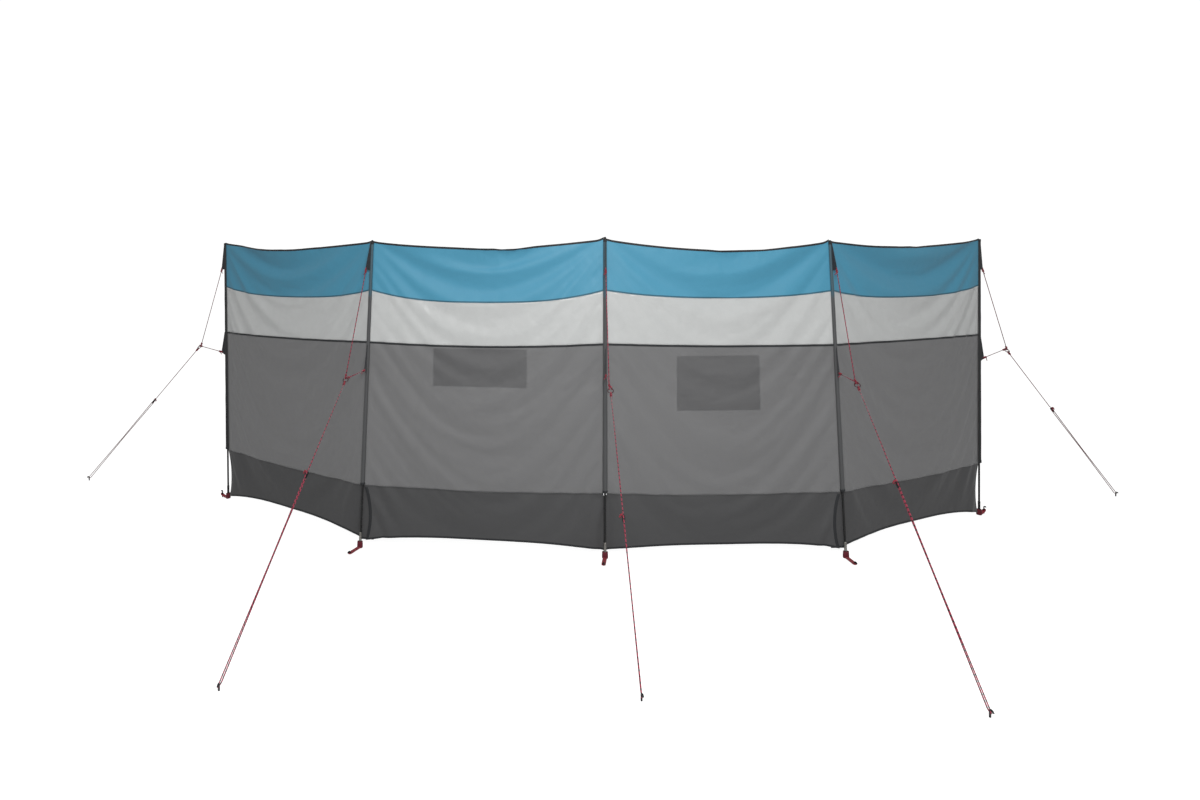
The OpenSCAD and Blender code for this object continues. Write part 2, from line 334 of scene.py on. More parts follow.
def add_lathe(bm, profile, centre, axis, steps=32):
    """Adds a turned shape: profile is a closed ring of (radius, height) about the axis."""
    part = bmesh.new()
    verts = [part.verts.new((r, 0, z)) for r, z in profile]
    edges = [part.edges.new((a, b)) for a, b in zip(verts, verts[1:] + verts[:1])]
    bmesh.ops.spin(part, geom=verts + edges, cent=(0, 0, 0), axis=(0, 0, 1),
                   angle=2 * math.pi, steps=steps, use_merge=True)
    bmesh.ops.remove_doubles(part, verts=part.verts, dist=1e-6)
    bmesh.ops.dissolve_degenerate(part, edges=part.edges, dist=1e-6)
    turn = UP.rotation_difference(axis).to_matrix().to_4x4()
    bmesh.ops.transform(part, matrix=Matrix.Translation(centre) @ turn, verts=part.verts)
    bmesh.ops.recalc_face_normals(part, faces=part.faces)
    join_part(bm, part)


def rounded(points, radius, steps=5):
    """A path through points, with each inner corner rounded off by a parabola."""
    made = [points[0]]
    for before, at, after in zip(points, points[1:], points[2:]):
        start = at + (before - at).normalized() * radius
        end = at + (after - at).normalized() * radius
        for k in range(steps + 1):
            t = k / steps
            made.append(start.lerp(at, t).lerp(at.lerp(end, t), t))
    return made + [points[-1]]


# ---------------------------------------------------------------- finishes


def add_node(tree, kind, inputs=(), **settings):
    """Adds a node. inputs is {socket: value or another node's output}."""
    made = tree.nodes.new(kind)
    for name, value in settings.items():
        setattr(made, name, value)
    for name, value in dict(inputs).items():
        if isinstance(value, bpy.types.NodeSocket):
            tree.links.new(value, made.inputs[name])
        else:
            made.inputs[name].default_value = value
    return made


def new_material(name):
    made = bpy.data.materials.new(name)
    made.use_nodes = True
    made.node_tree.nodes.clear()
    return made, made.node_tree


def finish_material(made, tree, surface):
    add_node(tree, "ShaderNodeOutputMaterial", {"Surface": surface.outputs[0]})
    return made


def shade(rgb, factor):
    """A colour made lighter or darker, with full opacity."""
    return tuple(min(1.0, c * factor) for c in rgb) + (1.0,)


def wave_scale(period):
    """The scale at which a wave texture repeats every period metres."""
    return math.pi / 10 / period


def cut_place(tree):
    """Where a point lies on its piece's own surface, in metres."""
    return add_node(tree, "ShaderNodeUVMap").outputs["UV"]


def object_place(tree):
    """Where a point lies in the whole object, in metres."""
    return add_node(tree, "ShaderNodeTexCoord").outputs["Object"]


def waves(tree, place, period, direction, distortion=0.0):
    inputs = {"Vector": place, "Scale": wave_scale(period), "Distortion": distortion}
    return add_node(tree, "ShaderNodeTexWave", inputs, bands_direction=direction).outputs["Fac"]


def cloudy(tree, place, scale, detail, roughness=0.5, distortion=0.0):
    return add_node(tree, "ShaderNodeTexNoise", {
        "Vector": place, "Scale": scale, "Detail": detail, "Roughness": roughness,
        "Distortion": distortion}).outputs["Fac"]


def blended(tree, factor, first, second):
    """A colour between two, each a value or another node's output."""
    return add_node(tree, "ShaderNodeMix", {"Factor": factor, 6: first, 7: second},
                    data_type="RGBA").outputs[2]


def combined(tree, operation, one, other):
    return add_node(tree, "ShaderNodeMath", {0: one, 1: other}, operation=operation).outputs[0]


def spread(tree, value, low, high):
    """A value of 0 to 1 carried to the range from low to high."""
    return add_node(tree, "ShaderNodeMapRange",
                    {"Value": value, "To Min": low, "To Max": high}).outputs[0]


def raised(tree, height, strength, distance):
    """The normal of a surface that stands up to distance metres proud."""
    return add_node(tree, "ShaderNodeBump", {
        "Height": height, "Strength": strength, "Distance": distance}).outputs[0]


def woven(name, rgb, thread, roughness=0.6, sheen=0.15, alpha=1.0, mottle=0.06, relief=0.25,
          tint=None):
    """Coated polyester, plain weave: a matt cloth with a faint sheen, soft mottling and a painted
    highlight on the crossings of the threads.

    thread is the spacing of the drawn threads. The real ones are 0.4 mm apart, too fine
    to show, so they are drawn coarser. tint is a colour and the height that it starts at.
    """
    made, tree = new_material(name)
    uv, place = cut_place(tree), object_place(tree)
    weave = combined(tree, "MULTIPLY", waves(tree, uv, thread, "X", 0.3),
                     waves(tree, uv, thread, "Y", 0.3))
    cloud = cloudy(tree, place, 5.0, 5.0, 0.55)
    fine = cloudy(tree, place, 160.0, 2.0)
    tone = blended(tree, fine, shade(rgb, 1 - mottle), shade(rgb, 1 + mottle))
    aged = blended(tree, cloud, shade(rgb, 1 - mottle * 1.6), tone)
    # A painted highlight where the threads cross, on the tops of the weave
    shown = blended(tree, weave, aged, shade(rgb, 1 + mottle * 1.5))
    if tint:
        second, from_z = tint
        rise = add_node(tree, "ShaderNodeSeparateXYZ", {"Vector": place}).outputs["Z"]
        above = add_node(tree, "ShaderNodeMapRange", {
            "Value": rise, "From Min": from_z - 0.01, "From Max": from_z + 0.01}).outputs[0]
        shown = blended(tree, above, shown, second + (1.0,))
    surface = add_node(tree, "ShaderNodeBsdfPrincipled", {
        "Base Color": shown, "Roughness": spread(tree, cloud, roughness - 0.08, roughness + 0.08),
        "Normal": raised(tree, combined(tree, "ADD", weave, fine), relief, 0.0003),
        "Alpha": alpha, "Sheen Weight": sheen, "Sheen Roughness": 0.5, "IOR": 1.5})
    return finish_material(made, tree, surface)


def window_film(name, rgb):
    """Soft vinyl film: pale, half see-through, glossy over a fine crinkle from its folding."""
    made, tree = new_material(name)
    uv, place = cut_place(tree), object_place(tree)
    crinkle = add_node(tree, "ShaderNodeTexVoronoi",
                       {"Vector": uv, "Scale": 14.0, "Randomness": 1.0},
                       feature="DISTANCE_TO_EDGE", voronoi_dimensions="2D").outputs["Distance"]
    ripple = cloudy(tree, place, 22.0, 6.0, 0.6, 0.6)
    cloud = cloudy(tree, place, 4.0, 3.0)
    surface = add_node(tree, "ShaderNodeBsdfPrincipled", {
        "Base Color": blended(tree, ripple, shade(rgb, 0.93), shade(rgb, 1.06)),
        "Roughness": spread(tree, cloud, 0.26, 0.42),
        "Normal": raised(tree, combined(tree, "ADD", crinkle, ripple), 0.35, 0.004),
        "Alpha": 0.72, "Coat Weight": 0.25, "Coat Roughness": 0.2, "IOR": 1.54})
    return finish_material(made, tree, surface)


def ribbed_tape(name, rgb, rib=0.0022, roughness=0.72):
    """Woven tape and webbing: cross ribs with a thread's soft shine, a little worn, with painted shade in
    the hollows between the ribs and a painted highlight on their crests.

    The ribs are drawn about twice as coarse as real ones, which would not show.
    """
    made, tree = new_material(name)
    uv, place = cut_place(tree), object_place(tree)
    cross = combined(tree, "MULTIPLY", waves(tree, uv, rib, "X", 0.4),
                     waves(tree, uv, rib * 0.7, "Y", 0.2))
    wear = cloudy(tree, place, 35.0, 5.0, 0.65)
    # Painted shade in the hollows between the ribs and a painted highlight on their crests
    tone = blended(tree, cross, shade(rgb, 0.78), shade(rgb, 1.22))
    surface = add_node(tree, "ShaderNodeBsdfPrincipled", {
        "Base Color": blended(tree, wear, shade(rgb, 0.85), tone),
        "Roughness": spread(tree, wear, roughness - 0.1, roughness + 0.1),
        "Normal": raised(tree, cross, 0.5, 0.0004),
        "Sheen Weight": 0.2, "Sheen Roughness": 0.4, "IOR": 1.5})
    return finish_material(made, tree, surface)


def braided_cord(name, rgb, fleck, braid=0.006):
    """Polyester braid: slanting strands of one colour with painted shade in the grooves between them and a
    painted highlight on their crests, and tracer threads of another colour.
    """
    made, tree = new_material(name)
    uv, place = cut_place(tree), object_place(tree)
    slants = [add_node(tree, "ShaderNodeMapping", {
        "Vector": uv, "Rotation": (0, 0, math.radians(slant))}).outputs[0] for slant in (32, -32)]
    left, right = [waves(tree, slant, braid / 2, "Y") for slant in slants]
    strands = combined(tree, "MAXIMUM", left, right)
    marks = add_node(tree, "ShaderNodeValToRGB", {"Fac": waves(tree, slants[0], braid * 2.5, "Y")})
    marks.color_ramp.elements[0].position = 0.70
    marks.color_ramp.elements[1].position = 0.80
    # Painted shade in the grooves between the strands and a painted highlight on their crests
    shaded_strands = blended(tree, strands, shade(rgb, 0.55), shade(rgb, 1.15))
    surface = add_node(tree, "ShaderNodeBsdfPrincipled", {
        "Base Color": blended(tree, marks.outputs["Color"], shaded_strands, fleck + (1.0,)),
        "Roughness": spread(tree, cloudy(tree, place, 60.0, 3.0), 0.5, 0.72),
        "Normal": raised(tree, strands, 0.7, 0.0005),
        "Sheen Weight": 0.25, "Sheen Roughness": 0.4, "IOR": 1.5})
    return finish_material(made, tree, surface)


def hard_finish(name, rgb, roughness, metallic=0.0, coat=0.0, grain=90.0, stretch=1.0):
    """A hard surface with fine handling marks. stretch draws the grain out along Z."""
    made, tree = new_material(name)
    place = object_place(tree)
    along = add_node(tree, "ShaderNodeMapping", {"Vector": place, "Scale": (1.0, 1.0, stretch)})
    marks = cloudy(tree, along.outputs[0], grain, 5.0, 0.6)
    dust = cloudy(tree, place, 12.0, 4.0)
    surface = add_node(tree, "ShaderNodeBsdfPrincipled", {
        "Base Color": blended(tree, marks, shade(rgb, 0.82), shade(rgb, 1.18)),
        "Roughness": spread(tree, dust, roughness * 0.75, roughness * 1.25),
        "Normal": raised(tree, marks, 0.15, 0.0002), "Metallic": metallic,
        "Coat Weight": coat, "Coat Roughness": 0.12})
    return finish_material(made, tree, surface)


FINISHES = {}


def make_finishes():
    """Makes every material once, from the colours in the settings."""
    c = bpy.context.scene.windbreak_colours
    blue_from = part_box("blue_band_3")[0].z
    FINISHES.update(
        blue=woven("Blue coated polyester", c.blue[:], 0.0024, roughness=0.55, sheen=0.1, mottle=0.05),
        film=window_film("Pale vinyl film", c.window[:]),
        wall=woven("Grey coated polyester", c.wall[:], 0.0024, alpha=0.78),
        skirt=woven("Dark coated polyester", c.skirt[:], 0.0026, roughness=0.66),
        sleeve=woven("Sleeve polyester", c.sleeve[:], 0.0022, roughness=0.6,
                     tint=(srgb("3b5661"), blue_from)),
        end_sleeve=woven("Dark sleeve polyester", c.end_sleeve[:], 0.0022, roughness=0.6),
        pocket=woven("Pocket polyester", c.pocket[:], 0.0024),
        blue_seam=woven("Felled seam in blue cloth", srgb("2f6478"), 0.0018),
        skirt_seam=woven("Felled seam in dark cloth", shade(c.skirt[:], 0.8)[:3], 0.0018),
        binding=ribbed_tape("Woven binding tape", c.binding[:]),
        tab=ribbed_tape("Dark woven webbing", c.tab[:]),
        strap=ribbed_tape("Dark red woven webbing", c.cup[:]),
        tongue=ribbed_tape("Red woven webbing", c.tongue[:]),
        cord=braided_cord("Braided polyester cord", c.cord[:], srgb("2b1418")),
        end_cord=braided_cord("Grey and red braided cord", c.end_cord[:], srgb("8c2a35")),
        knot=braided_cord("Knotted red cord", c.knot[:], srgb("4a101a"), braid=0.005),
        thread=hard_finish("Sewing thread", srgb("46484b"), 0.6),
        rod=hard_finish("Pultruded black fibreglass", srgb("0c0c0d"), 0.28, coat=0.3, grain=400.0,
                        stretch=0.02),
        ferrule=hard_finish("Nickel-plated steel", srgb("aaa8a2"), 0.3, metallic=1.0, grain=260.0,
                            stretch=0.15),
        plastic=hard_finish("Moulded black polypropylene", srgb("131315"), 0.45, grain=500.0),
        ring=hard_finish("Enamelled steel ring", srgb("3d1c22"), 0.35, coat=0.4, grain=120.0),
        peg=hard_finish("Black painted steel rod", srgb("141416"), 0.4, coat=0.2, grain=180.0,
                        stretch=0.3),
    )


# ---------------------------------------------------------------- the bays of cloth

CORNER_GAP = 14 * MM  # from a pole's axis to the lower corner of a skirt that bows away
EDGE_BOW = 25 * MM  # how far such a side edge bows
BEHIND = 9.5 * MM  # how far behind the bare poles the other side edges pass
FLAP = [e * MM for e in (0, 6, 18, 32, 46, 60)]  # reaches of the outer skirts' flaps
BELLY = 15 * MM  # how far a bay bellies towards the outer side


def bow(share, power=2):
    return 1 - abs(2 * share - 1) ** power


def ease(t):
    t = max(0.0, min(1.0, t))
    return t * t * (3 - 2 * t)


def side_edge(bay, pole, z):
    """A side edge's gap from its pole's axis at height z, and how far it is set back."""
    beside = sleeve_r(pole, z) - 2.0 * MM
    seam = SLEEVES[pole][0][0]
    if z >= seam:
        return beside, 0.0
    if (bay < 3) == (pole == bay):
        v = max(0.0, z / seam)
        return CORNER_GAP + (beside - CORNER_GAP) * v + EDGE_BOW * bow(v), 0.0
    turn = ease((seam - z) / (25 * MM))
    passing = 2 * MM if pole == 3 else FLAP[1]
    return beside + (passing - beside) * turn, BEHIND * turn


def cloth_point(bay, share, z, reach=None):
    """Where a point of a bay lies before it is draped. reach is its place in a flap."""
    if reach is not None:
        pole, first, turn = (2, 2, 1) if bay == 1 else (4, 3, -1)
        run = plan(on_axis(first + 1, z) - on_axis(first, z)).normalized()
        back = BEHIND - 3 * MM * reach / FLAP[-1]
        at = on_axis(pole, z) + run * reach * turn + Vector((-run.y, run.x, 0)) * back
        return Vector((at.x, at.y, z))
    p, q = on_axis(bay, z), on_axis(bay + 1, z)
    run = plan(q - p)
    along = run.normalized()
    left, left_back = side_edge(bay, bay, z)
    right, right_back = side_edge(bay, bay + 1, z)
    at = p + along * (left + share * (run.length - left - right))
    back = left_back * ease(1 - 12 * share) + right_back * ease(12 * share - 11)
    at += Vector((along.y, -along.x, 0)) * (BELLY * bow(share) - back)
    return Vector((at.x, at.y, z))


def bay_edges(bay, seam_height):
    """The ten edges of a bay's nine strips.

    Each is its height at the left pole, mid-bay and at the right pole, and the power of
    the curve between them.
    """

    def edge(node, side, power=2):
        return [heights(node, bay, where)[side] for where in (0.0, 0.5, 1.0)] + [power]

    def moved(known, rise):
        return [z + rise for z in known[:3]] + known[3:]

    skirt_seam = edge(f"wall_{bay}", 0)
    blue_seam = edge(f"blue_band_{bay}", 0, 3)
    return [
        edge("bottom_binding", 0, 3),
        edge(f"skirt_{bay}", 0, 3),
        moved(skirt_seam, -seam_height),
        skirt_seam,
        edge(f"wall_{bay}", 1),
        edge(f"window_{bay}", 0),
        blue_seam,
        moved(blue_seam, seam_height),
        edge(f"blue_band_{bay}", 1),
        edge("top_binding", 1),
    ]


def edge_height(edge, share):
    left, middle, right, power = edge
    return left + (right - left) * share + (middle - (left + right) / 2) * bow(share, power)


def hem_lift(bay, share, width, strip, part):
    """How far the top edge is drawn up where it meets a sleeve."""
    if strip not in (BLUE, TOP_BINDING):
        return 0.0
    peak = (9 if bay in (2, 3) else 4) * MM
    drawn = peak * max(0.0, 1 - (1 - share) * width / (34 * MM)) ** 2
    drawn += 3 * MM * max(0.0, 1 - share * width / (30 * MM)) ** 2
    return drawn * (1.0 if strip == TOP_BINDING else part ** 8)


def make_bay(bay):
    """One bay's cloth as a flat-cut grid, with its strips, columns and cut recorded."""
    s = bpy.context.scene.windbreak_cloth
    edges = bay_edges(bay, s.seam_height)
    steps = [max(1, round((top[1] - low[1]) / s.cell)) for low, top in zip(edges, edges[1:])]
    lines = [(k, r / n) for k, n in enumerate(steps) for r in range(n)] + [(len(steps) - 1, 1.0)]
    width = plan(on_axis(bay, 0.7) - on_axis(bay + 1, 0.7)).length
    inner = round(width / s.cell)
    bound = s.side_binding / width
    shares = [0.0] + [bound + (1 - 2 * bound) * k / inner for k in range(inner + 1)] + [1.0]
    spots = [(share, None) for share in shares]
    before = 0
    if bay == 1:
        spots += [(1.0, reach) for reach in FLAP]
    elif bay == 4:
        spots = [(0.0, reach) for reach in reversed(FLAP)] + spots
        before = len(FLAP)
    columns, rows = len(spots) - 1, len(lines) - 1
    bm = bmesh.new()
    bmesh.ops.create_grid(bm, x_segments=columns, y_segments=rows, size=0.5)
    uv = bm.loops.layers.uv.new("Cloth")
    strip = bm.faces.layers.int.new("strip")
    column = bm.faces.layers.int.new("column")
    flat, places = {}, {}
    for v in bm.verts:
        share, reach = spots[round((v.co.x + 0.5) * columns)]
        k, part = lines[round((v.co.y + 0.5) * rows)]
        low, top = (edge_height(e, share) for e in edges[k:k + 2])
        z = low + (top - low) * part + hem_lift(bay, share, width, k, part)
        beyond = 0.0 if reach is None else (reach + FLAP[1]) * (1 if bay == 1 else -1)
        flat[v] = (share * width + beyond, z)
        places[v] = (share, z, reach)
    lost = []
    for face in bm.faces:
        middle = face.calc_center_median()
        face[strip] = lines[int((middle.y + 0.5) * rows)][0]
        face[column] = int((middle.x + 0.5) * columns) - before
        if not 0 <= face[column] < len(shares) - 1 and face[strip] > SKIRT_SEAM:
            lost.append(face)
        for loop in face.loops:
            loop[uv].uv = flat[loop.vert]
    for v, (share, z, reach) in places.items():
        v.co = cloth_point(bay, share, z, reach)
    bmesh.ops.delete(bm, geom=lost, context="FACES")
    sides = []
    bm.verts.index_update()
    for v, (share, z, reach) in places.items():
        if v.is_valid and (share in (0.0, 1.0) or reach is not None):
            sides.append(v.index)
    made = finished(bm, f"bay_{bay}")
    made.vertex_groups.new(name="held").add(sides, 1.0, "REPLACE")
    made["bound"] = 0 if bay < 3 else len(shares) - 2
    return made


# Creases that the pull of the guys and pockets leaves: bay, middle (along the bay and
# up), spread, slant in degrees, spacing, depth
CREASES = (
    (1, (0.92, 0.62), (0.22, 0.26), 82, 0.026, 4.0),
    (1, (0.25, 0.50), (0.22, 0.22), -50, 0.030, 3.0),
    (1, (0.95, 0.98), (0.15, 0.14), 65, 0.024, 2.5),
    (2, (0.58, 0.73), (0.34, 0.12), 38, 0.026, 5.0),
    (2, (0.97, 0.72), (0.17, 0.17), 42, 0.019, 4.5),
    (2, (0.15, 0.55), (0.16, 0.28), 75, 0.028, 3.0),
    (2, (1.03, 1.27), (0.07, 0.12), -62, 0.018, 3.0),
    (2, (0.60, 0.42), (0.40, 0.12), 12, 0.045, 3.0),
    (3, (0.50, 0.76), (0.24, 0.13), 8, 0.015, 3.0),
    (3, (0.82, 0.83), (0.20, 0.12), 24, 0.026, 3.0),
    (3, (0.06, 0.62), (0.08, 0.30), 84, 0.018, 2.5),
    (3, (0.60, 0.40), (0.38, 0.14), -14, 0.050, 3.0),
    (4, (0.14, 0.66), (0.16, 0.26), -72, 0.026, 4.0),
    (4, (0.90, 0.55), (0.20, 0.28), 62, 0.030, 3.0),
    (4, (0.55, 0.75), (0.25, 0.15), -30, 0.040, 2.0),
)


def crease_depth(bay, x, z):
    """How far out of its smooth shape the cloth stands at a point of its flat cut."""
    depth = 0.8 * noise.noise(Vector((x / 0.05, z / 0.05, bay * 11)))
    depth += 0.6 * noise.noise(Vector((x / 0.022, z / 0.03, bay * 17)))
    for number, (mid_x, mid_z), (wide, tall), slant, spacing, most in CREASES:
        if number == bay:
            dx, dz = x - mid_x, z - mid_z
            turn = math.radians(slant)
            along = dx * math.cos(turn) + dz * math.sin(turn)
            across = dz * math.cos(turn) - dx * math.sin(turn)
            fade = math.exp(-(dx / wide) ** 2 - (dz / tall) ** 2)
            spot = Vector((across / spacing, along / (spacing * 6), number * 7 + mid_x))
            depth += most * fade * noise.noise(spot)
    return depth * MM


def crease(number, bay):
    """Lays the creases into a bay's cloth, away from its side edges."""
    mesh = bay.data
    cut_at = {}
    for loop, spot in zip(mesh.loops, mesh.uv_layers["Cloth"].data):
        cut_at[loop.vertex_index] = spot.uv.copy()
    held = bay.vertex_groups["held"].index
    width = plan(on_axis(number, 0.7) - on_axis(number + 1, 0.7)).length
    for v in mesh.vertices:
        if not any(g.group == held for g in v.groups):
            x, z = cut_at[v.index]
            edge = min(1.0, min(x, width - x) / (20 * MM))
            across = plan(on_axis(number + 1, z) - on_axis(number, z)).normalized()
            v.co += Vector((across.y, -across.x, 0)) * crease_depth(number, x, z) * edge


def drape(bays):
    """Lets gravity settle the slack cloth between its poles."""
    s = bpy.context.scene.windbreak_cloth
    starts = {bay: [v.co.copy() for v in bay.data.vertices] for bay in bays}
    for bay in bays:
        cloth = bay.modifiers.new("Drape", "CLOTH")
        c = cloth.settings
        c.quality = 7
        c.mass = 0.02
        c.air_damping = 2.0
        c.tension_stiffness = 60.0
        c.compression_stiffness = 25.0
        c.shear_stiffness = 8.0
        c.bending_stiffness = 0.06
        c.tension_damping = c.compression_damping = c.shear_damping = 12.0
        c.vertex_group_mass = "held"
        c.shrink_min = -s.slack
        cloth.collision_settings.use_collision = False
        cloth.collision_settings.use_self_collision = False
    scene = bpy.context.scene
    for step in range(1, s.drape_frames + 1):
        scene.frame_set(step)
    graph = bpy.context.evaluated_depsgraph_get()
    for bay in bays:
        settled = [v.co.copy() for v in bay.evaluated_get(graph).data.vertices]
        bay.modifiers.clear()
        for v, start, end in zip(bay.data.vertices, starts[bay], settled):
            move = end - start
            v.co = start + move * min(1.0, s.most_move / max(move.length, 1e-9))
    scene.frame_set(1)


def cut(bay, name, keep):
    """A copy of a bay's cloth that keeps only some of its faces."""
    bm = bmesh.new()
    bm.from_mesh(bay.data)
    strip, column = bm.faces.layers.int["strip"], bm.faces.layers.int["column"]
    lost = [f for f in bm.faces if not keep(f[strip], f[column])]
    bmesh.ops.delete(bm, geom=lost, context="FACES")
    return finished(bm, name)


# The bands of cloth: name and slot, strips, finish, and the CAD node that each replaces
BANDS = (
    ("skirt_cloth", (FOOT_BINDING, SKIRT, SKIRT_SEAM), "skirt", "skirt"),
    ("wall_cloth", (WALL, TAPE), "wall", "wall"),
    ("window_film", (WINDOW,), "film", "window"),
    ("blue_cloth", (BLUE_SEAM, BLUE, TOP_BINDING), "blue", "blue_band"),
)
# The tapes and seams over them: name, strips, finish, slot, and share of the thickness.
# The side binding keeps only the outermost column of its strips
TAPES = (
    ("foot_binding", (FOOT_BINDING,), "binding", "binding", 1.0),
    ("seam_tape", (TAPE,), "binding", "binding", 1.0),
    ("top_binding", (TOP_BINDING,), "binding", "binding", 1.0),
    ("blue_seam", (BLUE_SEAM,), "blue_seam", "blue_cloth", 0.7),
    ("skirt_seam", (SKIRT_SEAM,), "skirt_seam", "skirt_cloth", 0.7),
    ("skirt_side_binding", (FOOT_BINDING, SKIRT), "binding", "binding", 0.9),
)
# The CAD nodes that run the whole way along, each replaced by its tapes together
SHARED_TAPES = {"foot_binding_1": "bottom_binding", "seam_tape_1": "seam_tape",
                "top_binding_1": "top_binding"}


def cut_sheet(bay, number, name, strips, finish, node):
    """One band of a bay's cloth, cut out and thickened."""
    s = bpy.context.scene.windbreak_cloth
    piece = cut(bay, f"{name}_{number}", lambda strip, column: strip in strips)
    subdivide(piece)
    solidify(piece, s.cloth_thickness)
    dress(piece, FINISHES[finish], name, f"{node}_{number}")


def cut_tape(bay, number, name, strips, finish, slot, thickness):
    """A tape or seam over part of a bay's cloth, on both its faces."""
    only = bay["bound"] if name == "skirt_side_binding" else None
    piece = cut(bay, f"{name}_{number}",
                lambda strip, column: strip in strips and only in (None, column))
    subdivide(piece)
    solidify(piece, thickness)
    bevel(piece, thickness * 0.3)
    dress(piece, FINISHES[finish], slot)


BAY_MESHES = {}


class WINDBREAK_OT_bays(bpy.types.Operator):
    """Make and drape the cloth of the four bays, and cut it into its sewn bands"""

    bl_idname = "windbreak.bays"
    bl_label = "Bays of Cloth"

    def execute(self, context):
        s = context.scene.windbreak_cloth
        BAY_MESHES.update({b: make_bay(b) for b in BAYS})
        drape(list(BAY_MESHES.values()))
        for number, bay in BAY_MESHES.items():
            crease(number, bay)
        for number, bay in BAY_MESHES.items():
            for name, strips, finish, node in BANDS:
                cut_sheet(bay, number, name, strips, finish, node)
            for name, strips, finish, slot, part in TAPES:
                cut_tape(bay, number, name, strips, finish, slot, s.tape_thickness * part)
        for piece, node in SHARED_TAPES.items():
            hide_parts(node)
        return {"FINISHED"}


# ---------------------------------------------------------------- pockets


def pocket_cut(bay, node):
    """A pocket's ends along its bay and its heights, from its CAD solid."""
    points = node_points(node)
    shares = [place_in_bay(p, bay)[0] for p in points]
    return min(shares), max(shares), min(p.z for p in points), max(p.z for p in points)


class WINDBREAK_OT_pockets(bpy.types.Operator):
    """Make the two flat pockets on the sheltered side of the middle bays"""

    bl_idname = "windbreak.pockets"
    bl_label = "Pockets"

    def execute(self, context):
        s = context.scene.windbreak_cloth
        for bay in (2, 3):
            node = f"pocket_{bay}"
            first, last, low, high = pocket_cut(bay, node)
            graph = context.evaluated_depsgraph_get()
            wall = BVHTree.FromObject(BAY_MESHES[bay], graph)
            across = (on_axis(bay + 1, low) - on_axis(bay, low)).normalized()
            inward = Vector((-across.y, across.x, 0)).normalized()
            columns, rows = 34, 18
            bm = bmesh.new()
            bmesh.ops.create_grid(bm, x_segments=columns, y_segments=rows, size=0.5)
            uv = bm.loops.layers.uv.new("Cloth")
            width = (last - first) * (on_axis(bay + 1, low) - on_axis(bay, low)).length
            spots = {}
            for v in bm.verts:
                a, b = v.co.x + 0.5, v.co.y + 0.5
                spots[v] = (a * width, b * (high - low))
                start = on_axis(bay, low).lerp(on_axis(bay + 1, low), first + a * (last - first))
                start = Vector((start.x, start.y, low + b * (high - low))) + inward * 0.3
                hit = wall.ray_cast(start, -inward)[0] or start - inward * 0.3
                sewn = min(1.0, bow(a) * 4) * min(1.0, b * 5)
                puff = 1.6 * MM + 4.5 * MM * sewn
                puff += 1.6 * MM * sewn * noise.noise(Vector((a * 7 + bay, b * 4 - a * 3, bay)))
                v.co = hit + inward * puff
            for face in bm.faces:
                for loop in face.loops:
                    loop[uv].uv = spots[loop.vert]
            piece = finished(bm, f"pocket_cloth_{bay}")
            subdivide(piece)
            upper_row = bmesh.new()
            upper_row.from_mesh(piece.data)
            cut_uv = upper_row.loops.layers.uv["Cloth"]
            below = [f for f in upper_row.faces
                     if max(loop[cut_uv].uv.y for loop in f.loops)
                     < (high - low) * (1 - 1.01 / rows)]
            bmesh.ops.delete(upper_row, geom=below, context="FACES")
            hem = finished(upper_row, f"pocket_hem_{bay}")
            subdivide(hem)
            solidify(hem, s.tape_thickness * 0.7)
            bevel(hem, s.tape_thickness * 0.2)
            solidify(piece, s.cloth_thickness)
            dress(piece, FINISHES["pocket"], "pocket_cloth", node)
            dress(hem, FINISHES["binding"], "binding")
        for bay in BAY_MESHES.values():
            bpy.data.objects.remove(bay)
        return {"FINISHED"}


# ---------------------------------------------------------------- sleeves and poles


class WINDBREAK_OT_sleeves(bpy.types.Operator):
    """Make the cloth sleeves round the poles, with their hems and bound tops"""

    bl_idname = "windbreak.sleeves"
    bl_label = "Pole Sleeves"

    def execute(self, context):
        s = context.scene.windbreak_cloth
        for pole in POLES:
            (foot_z, wide), (top_z, narrow) = SLEEVES[pole]
            low, high = on_axis(pole, foot_z), on_axis(pole, top_z)
            rows = 92
            path = [low.lerp(high, k / rows) for k in range(rows + 1)]

            def radius(row, share):
                turn = 2 * math.pi * share
                spot = Vector((math.cos(turn) * 0.8, math.sin(turn) * 0.8, row * 0.16 + pole * 9))
                crease = noise.noise(spot) + 0.5 * noise.noise(spot * 2.3)
                return sleeve_r(pole, path[row].z) - 0.4 * MM + 0.7 * MM * crease

            bm = bmesh.new()
            add_tube(bm, path, radius, sides=20, caps=False)
            sleeve = finished(bm, f"sleeve_cloth_{pole}")
            solidify(sleeve, s.cloth_thickness, offset=-1.0)
            finish = "end_sleeve" if pole in (1, 5) else "sleeve"
            dress(sleeve, FINISHES[finish], "sleeve_cloth", f"sleeve_{pole}")
            bm = bmesh.new()
            for start, reach in ((0, wide), (rows - 1, narrow)):
                add_tube(bm, path[start:start + 2], reach + 0.2 * MM, sides=20, caps=False)
            hem = finished(bm, f"sleeve_hems_{pole}")
            solidify(hem, 1.2 * MM, offset=0.0)
            dress(hem, FINISHES["binding"], "binding")
        return {"FINISHED"}


